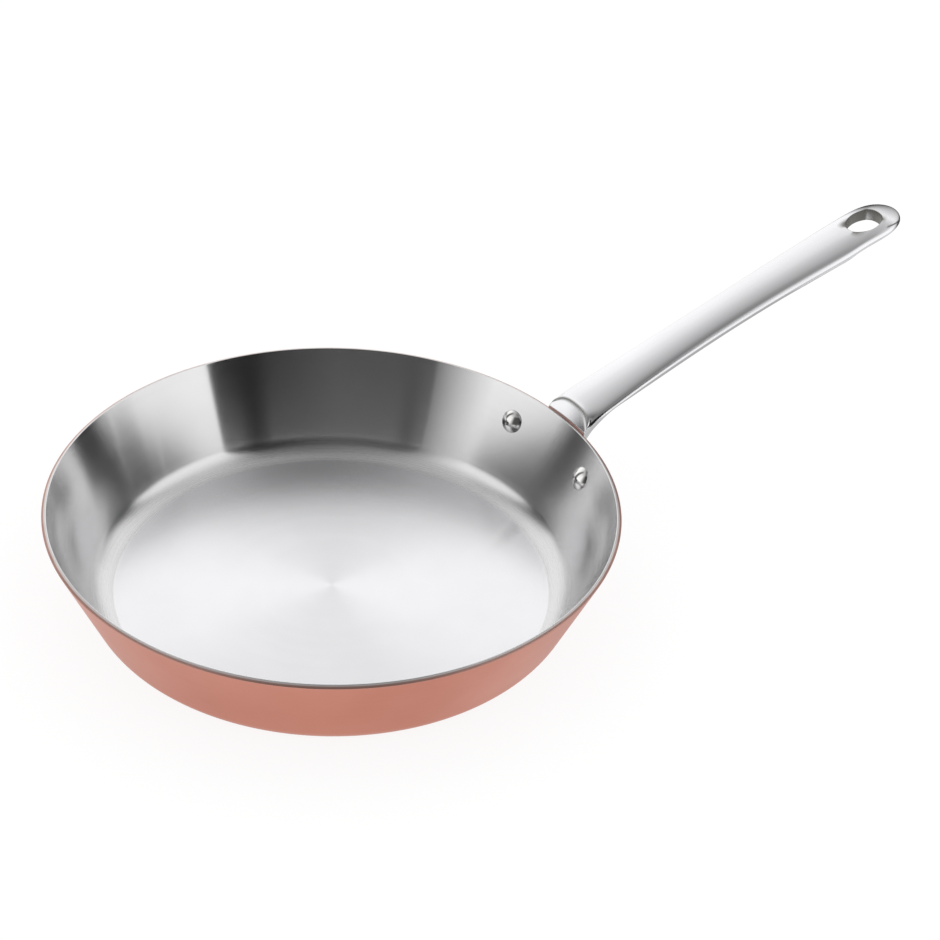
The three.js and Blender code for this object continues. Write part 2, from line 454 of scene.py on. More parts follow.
@dataclass(frozen=True)
class LinerFinish:
    """Steel brushed round the axis, most matt in the corner; the wall is painted darker than the floor, as
    painted shade.
    """

    name: str = "brushed steel liner"
    floor_dark: Colour = (0.78, 0.778, 0.795)
    floor_light: Colour = (0.83, 0.828, 0.845)
    # Painted shade: the wall's colours are darker than the floor's.
    painted_shade_wall_dark: Colour = (0.71, 0.707, 0.71)
    painted_shade_wall_light: Colour = (0.76, 0.757, 0.76)
    floor_radius: float = 99.6 * MM
    floor_fade: float = 0.5 * MM
    corner_stop: float = 105 * MM
    wall_start: float = 111 * MM
    floor_roughness: float = 0.17
    corner_roughness: float = 0.26
    wall_roughness: float = 0.13
    line_roughness: float = 0.03
    anisotropy: float = 1.0
    brush_turn: float = 0.25
    line_density: float = 3200.0
    line_run: float = 10.0
    line_bump: float = 0.05
    line_depth: float = 0.01 * MM
    mark_scale: float = 18.0

    def material(self, effects: SurfaceEffects) -> bpy.types.Material:
        """Builds the material.

        Args:
            effects: The shared node groups.

        Returns:
            The material.
        """
        material, board = new_material(self.name)
        feeds = {"Density": self.line_density, "Run": self.line_run}
        turned = board.add("ShaderNodeGroup", feeds, node_tree=effects.turned_lines)
        lines = turned.outputs["Lines"]
        radius = turned.outputs["Radius"]
        feeds = {"Scale": self.mark_scale}
        marks = board.add("ShaderNodeGroup", feeds, node_tree=effects.handling_marks).outputs["Marks"]
        past_floor = board.ramp(radius, self.floor_radius - self.floor_fade, self.floor_radius)
        floor_colour = board.blend(marks, self.floor_dark, self.floor_light)
        # The wall takes a darker colour than the floor: painted shade.
        painted_shade_wall_colour = board.blend(marks, self.painted_shade_wall_dark, self.painted_shade_wall_light)
        upper = board.ramp(
            radius, self.corner_stop, self.wall_start, self.corner_roughness, self.wall_roughness
        )
        step = board.math("SUBTRACT", upper, self.floor_roughness)
        base = board.math("MULTIPLY_ADD", past_floor, step, self.floor_roughness)
        feeds = {
            "Base Color": board.blend(past_floor, floor_colour, painted_shade_wall_colour),
            "Roughness": board.math("MULTIPLY_ADD", lines, self.line_roughness, base),
            "Normal": board.bump(lines, self.line_bump, self.line_depth),
            "Tangent": board.add("ShaderNodeTangent", direction_type="RADIAL", axis="Z").outputs["Tangent"],
            "Anisotropic": self.anisotropy,
            "Anisotropic Rotation": self.brush_turn,
        }
        board.metal(feeds)
        return material


@dataclass(frozen=True)
class HandleFinish:
    """Polished steel. The wall of the hanging hole, left rough from casting, and the middle of the brow over
    the rim are rougher and painted far darker: painted shade in the hole and a painted dark reflection line
    along the brow.
    """

    name: str = "polished steel handle"
    dark: Colour = (0.77, 0.77, 0.785)
    light: Colour = (0.83, 0.83, 0.845)
    # Painted shade: the hole's wall and the brow's line take these colours, far darker than the steel itself.
    cast_and_shade_dark: Colour = (0.22, 0.215, 0.20)
    cast_and_shade_light: Colour = (0.31, 0.305, 0.285)
    roughness: tuple[float, float] = (0.10, 0.16)
    cast_and_shade_roughness: float = 0.45
    mark_scale: float = 40.0
    mark_stretch: float = 6.0

    def material(self, effects: SurfaceEffects) -> bpy.types.Material:
        """Builds the material.

        Args:
            effects: The shared node groups.

        Returns:
            The material.
        """
        material, board = new_material(self.name)
        feeds = {"Scale": self.mark_scale, "Stretch": self.mark_stretch}
        marks = board.add("ShaderNodeGroup", feeds, node_tree=effects.handling_marks).outputs["Marks"]
        # This mark covers the hole's wall and the brow's middle, which get the painted shade colours and a
        # rougher finish.
        cast_and_shade = board.add("ShaderNodeAttribute", attribute_name=CAST_AND_SHADE_LAYER).outputs["Fac"]
        polished = board.blend(marks, self.dark, self.light)
        cast_and_shade_colour = board.blend(marks, self.cast_and_shade_dark, self.cast_and_shade_light)
        low, high = self.roughness
        base = board.ramp(marks, 0.0, 1.0, high, low)
        step = board.math("SUBTRACT", self.cast_and_shade_roughness, base)
        feeds = {
            "Base Color": board.blend(cast_and_shade, polished, cast_and_shade_colour),
            "Roughness": board.math("MULTIPLY_ADD", cast_and_shade, step, base),
        }
        board.metal(feeds)
        return material


SATIN_COPPER = MetalFinish(
    name="satin copper",
    dark=(0.545, 0.205, 0.141),
    light=(0.59, 0.235, 0.166),
    lip=(0.55, 0.31, 0.26),
    lip_height=47.45 * MM,
    roughness=(0.36, 0.42),
    line_density=1500.0,
    line_roughness=0.04,
    line_bump=0.05,
    mark_scale=14.0,
)
# The outer half of the cut edge is painted a dull copper brown, the copper ply's edge with painted shade; the
# inner part is grey aluminium.
CUT_ALUMINIUM = MetalFinish(
    name="cut aluminium edge",
    dark=(0.42, 0.265, 0.23),
    light=(0.48, 0.31, 0.27),
    lip=(0.66, 0.615, 0.605),
    lip_height=48.08 * MM,
    lip_fade=0.12 * MM,
    roughness=(0.30, 0.42),
    line_density=4000.0,
    line_roughness=0.08,
    mark_scale=60.0,
)
BRUSHED_STEEL = LinerFinish()
POLISHED_STEEL = HandleFinish()
BRIGHT_RIVET = MetalFinish(
    name="bright rivet steel",
    dark=(0.72, 0.71, 0.70),
    light=(0.82, 0.815, 0.80),
    roughness=(0.10, 0.18),
    mark_scale=160.0,
)


# The bowl


@dataclass(frozen=True)
class BowlSizes:
    """Sizes of the turned bowl, the same as in its CAD solids."""

    rim_radius: float = 130 * MM
    rim_height: float = 47.5 * MM
    wall_angle: float = radians(65)
    corner_radius: float = 12 * MM
    copper: float = 0.5 * MM
    core: float = 1.4 * MM
    liner: float = 0.4 * MM
    bond_clearance: float = 0.02 * MM

    @property
    def sheet(self) -> float:
        """Thickness of the whole clad sheet."""
        return self.copper + self.core + self.liner + 2 * self.bond_clearance

    @property
    def along(self) -> Vector:
        """Direction up the wall, as radius and height."""
        return Vector((cos(self.wall_angle), sin(self.wall_angle)))

    @property
    def outward(self) -> Vector:
        """Direction out of the wall's outer face, as radius and height."""
        return Vector((sin(self.wall_angle), -cos(self.wall_angle)))

    @property
    def corner_outer(self) -> float:
        """Radius of the corner's outer face."""
        return self.corner_radius + self.sheet

    @property
    def corner_middle(self) -> Vector:
        """Centre of the corner's arcs."""
        rise = self.rim_height - self.corner_outer - self.corner_outer * self.outward.y
        wall_length = rise / self.along.y
        reach = wall_length * self.along.x + self.corner_outer * self.outward.x
        return Vector((self.rim_radius - reach, self.corner_outer))

    def wall_point(self, down: float, out: float) -> Vector:
        """A point by the wall.

        Args:
            down: Distance down the wall from its outer rim edge.
            out: Distance out from the wall's outer face.

        Returns:
            Radius and height.
        """
        edge = Vector((self.rim_radius, self.rim_height))
        return edge - self.along * down + self.outward * out


@dataclass(frozen=True)
class Bowl:
    """The bowl: three bonded plies turned from one section."""

    sizes: BowlSizes = BowlSizes()
    turn_steps: int = 288
    corner_steps: int = 18
    edge_steps: int = 6
    support: float = 0.25 * MM
    copper_edge: float = 0.4 * MM
    liner_edge: float = 0.25 * MM
    bond_edge: float = 0.08 * MM
    sharp_angle: float = radians(50)

    def build(self, effects: SurfaceEffects) -> None:
        """Turns and dresses the three plies.

        Args:
            effects: The shared node groups.
        """
        sizes = self.sizes
        core_depth = sizes.copper + sizes.bond_clearance
        liner_depth = core_depth + sizes.core + sizes.bond_clearance
        bond = self.bond_edge
        copper = self._turn_ply("copper_shell_skin", 0.0, sizes.copper, self.copper_edge, bond)
        core = self._turn_ply("aluminium_core_ply", core_depth, core_depth + sizes.core, bond, bond)
        liner = self._turn_ply("steel_liner_skin", liner_depth, sizes.sheet, bond, self.liner_edge)
        mount_piece(copper, "copper_shell", SATIN_COPPER.material(effects))
        mount_piece(core, "aluminium_core", CUT_ALUMINIUM.material(effects))
        mount_piece(liner, "steel_liner", BRUSHED_STEEL.material(effects))

    def _turn_ply(
        self, name: str, outer: float, inner: float, outer_edge: float, inner_edge: float
    ) -> bpy.types.Object:
        """Turns one ply.

        Args:
            name: Name of the piece.
            outer: Depth of the ply's outer face in the sheet.
            inner: Depth of its inner face.
            outer_edge: Radius of the rim's outer edge.
            inner_edge: Radius of the rim's inner edge.

        Returns:
            The ply.
        """
        sizes = self.sizes
        middle = sizes.corner_middle
        quarter = pi / 2
        outer_start = middle + sizes.outward * (sizes.corner_outer - outer)
        inner_start = middle + sizes.outward * (sizes.corner_outer - inner)
        pen = SectionPen(Vector((0, outer)))
        pen.line(Vector((middle.x, outer)), self.support)
        pen.arc(middle, sizes.wall_angle, self.corner_steps)
        pen.tip.co = (outer_start.x, 0, outer_start.y)
        pen.line(sizes.wall_point(outer_edge, -outer), self.support)
        pen.arc(sizes.wall_point(outer_edge, -outer - outer_edge), quarter, self.edge_steps)
        pen.line(sizes.wall_point(0, -inner + inner_edge))
        pen.arc(sizes.wall_point(inner_edge, -inner + inner_edge), quarter, self.edge_steps)
        pen.line(inner_start, self.support)
        pen.arc(middle, -sizes.wall_angle, self.corner_steps)
        pen.line(Vector((0, inner)), self.support)
        return finish_mesh(pen.turn(self.turn_steps), name, self.sharp_angle)


# The rivets


@dataclass(frozen=True)
class Rivets:
    """The two rivets that hold the handle: a high dome in the bowl and a low one on the flange."""

    bowl: BowlSizes = BowlSizes()
    pitch: float = 56 * MM
    drop: float = 15 * MM
    flange_thickness: float = 3.4 * MM
    clearance: float = 0.3 * MM
    head_gap: float = 0.14 * MM
    shank_radius: float = 3 * MM
    head_radius: float = 5.5 * MM
    head_height: float = 2.8 * MM
    tail_radius: float = 4.8 * MM
    tail_height: float = 2 * MM
    edge: float = 0.9 * MM
    dome_steps: int = 14
    edge_steps: int = 7
    turn_steps: int = 72
    sharp_angle: float = radians(50)

    def build(self, effects: SurfaceEffects) -> None:
        """Turns, places and dresses both rivets.

        Args:
            effects: The shared node groups.
        """
        finish = BRIGHT_RIVET.material(effects)
        for side in Side:
            node = f"rivet_{side.name.lower()}"
            shape = self._turn_rivet()
            bmesh.ops.transform(shape, matrix=self._place(side), verts=shape.verts)
            piece = finish_mesh(shape, f"{node}_domed", self.sharp_angle)
            mount_piece(piece, node, finish)

    def _place(self, side: Side) -> Matrix:
        """The matrix that stands local +Z out of the wall at a rivet.

        Args:
            side: Which rivet.

        Returns:
            The matrix.
        """
        spot = self.bowl.wall_point(self.drop, 0)
        turn = side.value * asin(self.pitch / 2 / spot.x)
        lean = Matrix.Rotation(atan2(self.bowl.outward.x, self.bowl.outward.y), 4, "Y")
        return Matrix.Rotation(turn, 4, "Z") @ Matrix.Translation((spot.x, 0, spot.y)) @ lean

    def _crown(self, radius: float, height: float) -> tuple[float, float]:
        """Fits the crown of a dome to its rounded edge, so that the two arcs share a tangent.

        Args:
            radius: Radius of the dome at its seat.
            height: Height of the dome.

        Returns:
            Radius of the crown's arc, and the angle from the axis at which it ends.
        """
        reach = radius - self.edge
        crown = (reach**2 + height**2 - self.edge**2) / (2 * (height - self.edge))
        return crown, atan2(reach, crown - height)

    def _turn_rivet(self) -> bmesh.types.BMesh:
        """Turns one rivet about the Z axis.

        Returns:
            The bmesh, with the head below and the tail above.
        """
        head_seat = -self.bowl.sheet - self.head_gap
        tail_seat = self.flange_thickness + 2 * self.clearance
        pen = SectionPen(Vector((0, head_seat - self.head_height)))
        crown, lean = self._crown(self.head_radius, self.head_height)
        pen.arc(Vector((0, head_seat - self.head_height + crown)), lean, self.dome_steps)
        pen.arc(Vector((self.head_radius - self.edge, head_seat)), pi / 2 - lean, self.edge_steps)
        pen.line(Vector((self.shank_radius, head_seat)))
        pen.line(Vector((self.shank_radius, tail_seat)))
        pen.line(Vector((self.tail_radius, tail_seat)))
        crown, lean = self._crown(self.tail_radius, self.tail_height)
        pen.arc(Vector((self.tail_radius - self.edge, tail_seat)), pi / 2 - lean, self.edge_steps)
        pen.arc(Vector((0, tail_seat + self.tail_height - crown)), lean, self.dome_steps)
        return pen.turn(self.turn_steps)


# The handle


class Row(Enum):
    """The rows of cage points down the handle's root, round its bar and on the lips of its hole."""

    TOP = 0
    MIDDLE = 1
    UNDER = 2
    SKIRT = 3
    FOOT = 4
    HOLE_TOP = 5
    HOLE_UNDER = 6


@dataclass(frozen=True)
class HandleSizes:
    """Sizes of the handle.

    They are those of its CAD solid, apart from a side strip that bulges less and a crown that is lower by
    the neck.
    """

    bowl: BowlSizes = BowlSizes()
    rivets: Rivets = Rivets()
    reach: float = 194.8 * MM
    neck_rise: float = 5.6 * MM
    tip_rise: float = 57.9 * MM
    arch: float = 3.1 * MM
    tip_droop: float = 1 * MM
    droop_run: float = 25 * MM
    neck_width: float = 25.4 * MM
    waist_width: float = 20.7 * MM
    waist_from_rim: float = 84 * MM
    tail_width: float = 26 * MM
    tail_round: float = 17 * MM
    edge_height: float = 4.3 * MM
    neck_edge_height: float = 1.2 * MM
    tip_edge_height: float = 3 * MM
    edge_bulge: float = 0.35 * MM
    bulge_share: float = 0.5
    top_crown: float = 2.6 * MM
    bottom_crown: float = 1.2 * MM
    crown_power: float = 3.0
    crown_taper: float = 0.35
    crown_run: float = 86 * MM
    neck_setback: float = 4 * MM
    neck_run: float = 45 * MM
    keel_run: float = 34 * MM
    keel_depth: float = 10.5 * MM
    hole_length: float = 20.5 * MM
    hole_width: float = 16.2 * MM
    hole_from_tip: float = 20.2 * MM
    flange_height: float = 22 * MM

    @property
    def neck_x(self) -> float:
        """Where the bar leaves the rim."""
        return self.bowl.rim_radius + self.neck_setback

    @property
    def tip_x(self) -> float:
        """The tip of the tail."""
        return self.bowl.rim_radius + self.reach

    @property
    def tail_x(self) -> float:
        """Centre of the tail's round end."""
        return self.tip_x - self.tail_round

    @property
    def pitch(self) -> float:
        """Slope of the tail."""
        return atan2(self.edge_line(self.tip_x) - self.edge_line(self.tail_x), self.tip_x - self.tail_x)

    @property
    def hole_x(self) -> float:
        """Centre of the hanging hole."""
        return self.tip_x - self.hole_from_tip * cos(self.pitch)

    def edge_line(self, x: float) -> float:
        """Height of the bar's top edge at a distance from the pan's middle."""
        share = (x - self.neck_x) / (self.tip_x - self.neck_x)
        rise = lerp(self.neck_rise, self.tip_rise, share)
        droop = self.tip_droop * max(0.0, 1 - (self.tip_x - x) / self.droop_run) ** 2
        return self.bowl.rim_height + rise + self.arch * 4 * share * (1 - share) - droop

    def strip_height(self, x: float) -> float:
        """Height of the bar's side strip, which thins out towards the neck and the tip."""
        past_neck = max(0.0, x - self.neck_x)
        share = past_neck / (self.tip_x - self.neck_x)
        bar = lerp(self.edge_height, self.tip_edge_height, share**3)
        thinning = max(0.0, 1 - past_neck / self.neck_run) ** 2
        return bar - (self.edge_height - self.neck_edge_height) * thinning

    def half_width(self, x: float) -> float:
        """Half the bar's width, along a curve that narrows to the waist, widens and ends round.

        Args:
            x: Distance from the pan's middle.

        Returns:
            Half the width there.
        """
        if x > self.tail_x:
            past = (x - self.tail_x) / self.tail_round
            return self.tail_width / 2 * sqrt(max(0.0, 1 - past**2))
        middle = (self.neck_x + self.tail_x) / 2
        pull_x = 2 * (self.bowl.rim_radius + self.waist_from_rim) - middle
        pull_y = self.waist_width - (self.neck_width + self.tail_width) / 4
        bend = self.neck_x - 2 * pull_x + self.tail_x
        slope = 2 * (pull_x - self.neck_x)
        root = sqrt(slope * slope - 4 * bend * (self.neck_x - x))
        share = (root - slope) / (2 * bend)
        near = lerp(self.neck_width / 2, pull_y, share)
        far = lerp(pull_y, self.tail_width / 2, share)
        return lerp(near, far, share)

    def across(self, x: float, y: float) -> float:
        """How far out a place lies in the bar's plan, from 0 in the middle to 1 on its edge."""
        if x > self.tail_x:
            return Vector(((x - self.tail_x) / self.tail_round, 2 * y / self.tail_width)).length
        return abs(y) / self.half_width(x)

    def surface(self, x: float, across: float, row: Row) -> float:
        """Height of the bar's skin.

        Args:
            x: Distance from the pan's middle.
            across: How far out the place lies, from 0 in the middle to 1 on the edge.
            row: Which side of the bar.

        Returns:
            The height.
        """
        edge = self.edge_line(x)
        strip = self.strip_height(x)
        fullness = 2 * self.half_width(min(x, self.tail_x)) / self.tail_width
        if row in (Row.TOP, Row.HOLE_TOP):
            by_neck = max(0.0, 1 - max(0.0, x - self.neck_x) / self.crown_run)
            crown = self.top_crown * fullness * (1 - self.crown_taper * by_neck)
            return edge + crown * (1 - across**self.crown_power)
        if row is Row.MIDDLE:
            return edge - strip * self.bulge_share
        past_rim = max(0.0, (self.bowl.rim_radius + self.keel_run - x) / self.keel_run)
        keel = self.keel_depth * past_rim**2
        return edge - strip - (self.bottom_crown * fullness + keel) * (1 - min(1.0, across) ** 2)


@dataclass
class HandleCage:
    """A coarse cage of the handle, drawn out of the flange's inner face station by station.

    Columns are counted across from the middle, 0 to 4 for the bar and on to the ends of the flange. What has
    five values has one for each of the bar's columns. Turns are in degrees.
    """

    sizes: HandleSizes
    column_shares: tuple[float, ...] = (0.0, 0.38, 0.7, 0.9, 1.08)
    brow_shares: tuple[float, ...] = (0.0, 0.38, 0.78, 1.08, 1.12)
    brow_fall: tuple[float, ...] = mm(-1, -0.95, -0.5, 1.6, 5.4)
    shoulder_down: tuple[float, ...] = mm(-2, -2, -2, -1, 1)
    wing_spread: tuple[float, ...] = mm(20, 28)
    keel_down: tuple[float, ...] = mm(12, 10, 6, 3.6, 2.2)
    keel_out: tuple[float, ...] = mm(3.7, 3.7, 3.7, 2.8, 1.3)
    skirt_down: tuple[float, ...] = mm(22.3, 22, 20.5, 17.5, 15)
    root_step: float = 2.5 * MM
    stations: tuple[float, ...] = mm(144, 152, 164, 184, 210, 236, 262, 287)
    tail_sides: tuple[float, ...] = mm(296.5, 306)
    tail_turns: tuple[float, ...] = (62, 31, 0, -31, -62)
    hole_turns: tuple[float, ...] = (0, 23, 47, 76, 108, 131, 146, 158, 169, 180)
    flange_swell: float = 1.1
    tail_swell: float = 1.04
    hole_squeeze: float = 0.97
    hole_wall_reach: float = 1.1
    hole_lip: float = 0.6 * MM
    tail_rings: int = 2
    brow_round: float = 1.2 * MM
    crease_round: float = 1 * MM
    edge_round: float = 1.3 * MM
    convex_angle: float = radians(40)

    def __post_init__(self) -> None:
        """Starts an empty cage whose points know their column and row."""
        self.shape = bmesh.new()
        self.column = self.shape.verts.layers.int.new("column")
        self.row = self.shape.verts.layers.int.new("row")
        # Marks the hole's wall and the brow's middle, which the finish paints dark as painted shade and a
        # painted dark reflection line.
        self.cast_and_shade = self.shape.verts.layers.float.new(CAST_AND_SHADE_LAYER)
        self.bar_columns = len(self.column_shares) - 1
        self.end_column = self.bar_columns + len(self.wing_spread) + 1

    def draw(self) -> bmesh.types.BMesh:
        """Draws the whole cage.

        Returns:
            The closed bmesh.
        """
        root = self._lay_flange()
        ring = self._draw_bar(root)
        self._draw_tail_edge(ring)
        self._open_hole()
        bmesh.ops.recalc_face_normals(self.shape, faces=self.shape.faces)
        self._round_edges()
        return self.shape

    def _row_of(self, vert: bmesh.types.BMVert) -> Row:
        """The row of a cage point."""
        return Row(vert[self.row])

    def _wall_place(self, column: int, row: Row, out: float) -> Vector:
        """Place of a flange point.

        Args:
            column: Column, below 0 on the right hand side.
            row: Row down the wall.
            out: Distance out from the wall.

        Returns:
            The place.
        """
        sizes = self.sizes
        step = abs(column)
        half_height = sizes.flange_height / 2
        level = {Row.UNDER: 1, Row.FOOT: -1}.get(row, 0)
        if step <= self.bar_columns:
            across = self.brow_shares[step]
            brow = sizes.surface(sizes.neck_x, across, Row.TOP) - self.brow_fall[step]
            spread = across * sizes.neck_width / 2
            down = {
                Row.TOP: (sizes.bowl.rim_height - brow) / sizes.bowl.along.y,
                Row.MIDDLE: self.shoulder_down[step],
                Row.UNDER: self.keel_down[step],
                Row.SKIRT: self.skirt_down[step],
                Row.FOOT: sizes.rivets.drop + half_height,
            }[row]
        elif step < self.end_column:
            spread = self.wing_spread[step - self.bar_columns - 1]
            down = sizes.rivets.drop - level * half_height
        else:
            turn = level * pi / 4
            spread = sizes.rivets.pitch / 2 + self.flange_swell * half_height * cos(turn)
            down = sizes.rivets.drop - self.flange_swell * half_height * sin(turn)
        spot = sizes.bowl.wall_point(down, out)
        side = -1 if column < 0 else 1
        return Vector((sqrt(spot.x**2 - spread**2), side * spread, spot.y))

    def _outer_place(self, column: int, row: Row) -> Vector:
        """Place of a point on the outside of the flange and root.

        Args:
            column: Column, below 0 on the right hand side.
            row: Row down the wall.

        Returns:
            The place.
        """
        sizes = self.sizes
        step = abs(column)
        if row is Row.TOP:
            return self._bar_place(column, row, sizes.neck_x + self.root_step)
        if row is Row.MIDDLE:
            return (self._outer_place(column, Row.TOP) + self._outer_place(column, Row.UNDER)) / 2
        if row is Row.UNDER and step <= self.bar_columns:
            return self._wall_place(column, row, self.keel_out[step])
        return self._wall_place(column, row, sizes.rivets.clearance + sizes.rivets.flange_thickness)

    def _bar_place(self, column: int, row: Row, x: float) -> Vector:
        """Place of a point on the bar's section.

        Args:
            column: Column, below 0 on the right hand side.
            row: Top, middle or underside.
            x: Station along the bar.

        Returns:
            The place.
        """
        side = -1 if column < 0 else 1
        across = self.column_shares[abs(column)]
        spread = side * across * self.sizes.half_width(x)
        if row is Row.MIDDLE and abs(column) == self.bar_columns:
            spread += side * self.sizes.edge_bulge
        return Vector((x, spread, self.sizes.surface(x, across, row)))

    def _lay_flange(self) -> list[bmesh.types.BMFace]:
        """Lays a grid on the wall, cuts it to the flange and root, and thickens it.

        Returns:
            The faces on the outside of the root, from which the bar is drawn.
        """
        last_row = Row.FOOT.value
        columns = 2 * self.end_column
        grid = bmesh.ops.create_grid(self.shape, x_segments=columns, y_segments=last_row, size=1.0)
        for vert in grid["verts"]:
            vert[self.column] = round(vert.co.x * self.end_column)
            vert[self.row] = round((1 - vert.co.y) / 2 * last_row)
        spare = [face for face in self.shape.faces if not all(map(self._on_flange, face.verts))]
        bmesh.ops.delete(self.shape, geom=spare, context="FACES")
        for vert in self.shape.verts:
            vert.co = self._wall_place(vert[self.column], self._row_of(vert), self.sizes.rivets.clearance)
        raised = bmesh.ops.extrude_face_region(self.shape, geom=self.shape.faces[:])["geom"]
        for vert in verts_of(raised):
            vert.co = self._outer_place(vert[self.column], self._row_of(vert))
        return [face for face in faces_of(raised) if all(map(self._on_root, face.verts))]

    def _on_root(self, vert: bmesh.types.BMVert) -> bool:
        """Whether a point is on the root of the bar."""
        return abs(vert[self.column]) <= self.bar_columns and vert[self.row] <= Row.UNDER.value

    def _on_flange(self, vert: bmesh.types.BMVert) -> bool:
        """Whether a point is on the flange or the root."""
        return abs(vert[self.column]) <= self.bar_columns or vert[self.row] >= Row.UNDER.value

    def _draw_bar(self, root: list[bmesh.types.BMFace]) -> list[bmesh.types.BMVert]:
        """Draws the bar out of the root, and leaves its far end open.

        Args:
            root: The faces to draw out.

        Returns:
            The points of the open end.
        """
        front = root
        for x in self.stations:
            drawn = bmesh.ops.extrude_face_region(self.shape, geom=front)["geom"]
            for vert in verts_of(drawn):
                vert.co = self._bar_place(vert[self.column], self._row_of(vert), x)
            bmesh.ops.delete(self.shape, geom=front, context="FACES")
            front = faces_of(drawn)
        bmesh.ops.delete(self.shape, geom=front, context="FACES")
        return [vert for vert in self.shape.verts if vert.is_boundary]

    def _tail_outline(self) -> list[tuple[Vector, Vector]]:
        """Plan of the tail's edge, from the left end of the bar round the tip to the right end.

        Returns:
            The points, each with its outward direction.
        """
        sizes = self.sizes
        left = [(Vector((x, sizes.half_width(x))), Vector((0, 1))) for x in self.tail_sides]
        right = [(Vector((spot.x, -spot.y)), Vector((0, -1))) for spot, _ in reversed(left)]
        length = self.tail_swell * sizes.tail_round
        width = self.tail_swell * sizes.tail_width / 2
        end = []
        for turn in map(radians, self.tail_turns):
            spot = Vector((sizes.tail_x + length * cos(turn), width * sin(turn)))
            end.append((spot, Vector((width * cos(turn), length * sin(turn))).normalized()))
        return left + end + right

    def _draw_tail_edge(self, ring: list[bmesh.types.BMVert]) -> None:
        """Draws the bar's left edge round the tail to its right edge.

        Args:
            ring: The points of the bar's open end.
        """
        sizes = self.sizes
        far_left = [vert for vert in ring if vert[self.column] == self.bar_columns]
        far_right = [vert for vert in ring if vert[self.column] == -self.bar_columns]
        landing = {vert[self.row]: vert.co.copy() for vert in far_right}
        front = [edge for edge in self.shape.edges if all(vert in far_left for vert in edge.verts)]
        for spot, outward in self._tail_outline():
            drawn = bmesh.ops.extrude_edge_only(self.shape, edges=front)["geom"]
            for vert in verts_of(drawn):
                row = self._row_of(vert)
                bulge = sizes.edge_bulge if row is Row.MIDDLE else 0.0
                place = spot + outward * bulge
                vert.co = (place.x, place.y, sizes.surface(spot.x, 1.0, row))
            front = edges_of(drawn)
        drawn = bmesh.ops.extrude_edge_only(self.shape, edges=front)["geom"]
        for vert in verts_of(drawn):
            vert.co = landing[vert[self.row]]
        bmesh.ops.remove_doubles(self.shape, verts=self.shape.verts, dist=WELD_DISTANCE)

    def _hole_loop(self, row: Row) -> list[bmesh.types.BMEdge]:
        """Draws the edge of the hanging hole on one side of the tail.

        Args:
            row: The top or the underside of the hole.

        Returns:
            The edges of the loop.
        """
        sizes = self.sizes
        half_steps = len(self.hole_turns) - 1
        loop = bmesh.ops.create_circle(self.shape, segments=2 * half_steps, radius=1.0)["verts"]
        depth = 0.0 if row is Row.HOLE_TOP else sizes.strip_height(sizes.hole_x)
        for vert in loop:
            step = round(atan2(vert.co.y, vert.co.x) / pi * half_steps)
            turn = radians(self.hole_turns[abs(step)])
            side = -1 if step < 0 else 1
            length = self.hole_squeeze * sizes.hole_length / 2 * cos(sizes.pitch)
            x = sizes.hole_x + length * cos(turn) + depth * sin(sizes.pitch)
            y = side * sizes.hole_width / 2 * sin(turn)
            vert[self.row] = row.value
            vert.co = (x, y, sizes.surface(x, sizes.across(x, y), row))
        return [edge for edge in self.shape.edges if all(vert in loop for vert in edge.verts)]

    def _open_hole(self) -> None:
        """Closes the tail's two faces round the hanging hole, and the hole's wall."""
        top = self._hole_loop(Row.HOLE_TOP)
        under = self._hole_loop(Row.HOLE_UNDER)
        for hole, row in ((top, Row.TOP), (under, Row.UNDER)):
            rim = [
                edge
                for edge in self.shape.edges
                if edge.is_boundary and all(self._row_of(vert) is row for vert in edge.verts)
            ]
            bmesh.ops.bridge_loops(self.shape, edges=rim + hole)
        bmesh.ops.bridge_loops(self.shape, edges=top + under)
        self._dome_tail()

    def _dome_tail(self) -> None:
        """Adds rings between the hole and the tail's edge, and lifts them into a dome."""
        sizes = self.sizes
        tail_rows = {Row.TOP, Row.HOLE_TOP}
        spokes = [edge for edge in self.shape.edges if set(map(self._row_of, edge.verts)) == tail_rows]
        made = bmesh.ops.subdivide_edges(self.shape, edges=spokes, cuts=self.tail_rings, use_grid_fill=True)
        for vert in verts_of(made["geom_inner"]):
            across = sizes.across(vert.co.x, vert.co.y)
            vert[self.row] = Row.TOP.value
            vert[self.column] = 0
            vert.co.z = sizes.surface(vert.co.x, across, Row.TOP)

    def _round_edges(self) -> None:
        """Rounds the hole's lips, the brow, the bar's creases, then what else stands proud."""
        self._bevel(self._on_lip, self.hole_lip)
        self._bevel(self._on_brow, self.brow_round)
        self._bevel(self._on_crease, self.crease_round, clamp=False)
        for vert in self.shape.verts:
            # The hole's wall and the brow's middle are marked for the painted dark colour: painted shade in
            # the hole, a painted dark reflection line on the brow.
            vert[self.cast_and_shade] = 1.0 if self._in_hole(vert) or self._along_brow(vert) else 0.0
        self._bevel(self._stands_proud, self.edge_round)

    def _by_hole(self, vert: bmesh.types.BMVert) -> bool:
        """Whether a point belongs to the hanging hole."""
        return self._row_of(vert) in (Row.HOLE_TOP, Row.HOLE_UNDER)

    def _on_lip(self, edge: bmesh.types.BMEdge) -> bool:
        """Whether an edge lies on a lip of the hanging hole."""
        first, second = edge.verts
        return self._by_hole(first) and self._row_of(first) is self._row_of(second)

    def _stands_proud(self, edge: bmesh.types.BMEdge) -> bool:
        """Whether an edge is still sharp, away from the hole and not along the bar or through the flange."""
        first, second = edge.verts
        drawn_out = first[self.column] == second[self.column] and first[self.row] == second[self.row]
        if drawn_out or self._by_hole(first) or self._by_hole(second):
            return False
        return edge.calc_face_angle_signed() > self.convex_angle

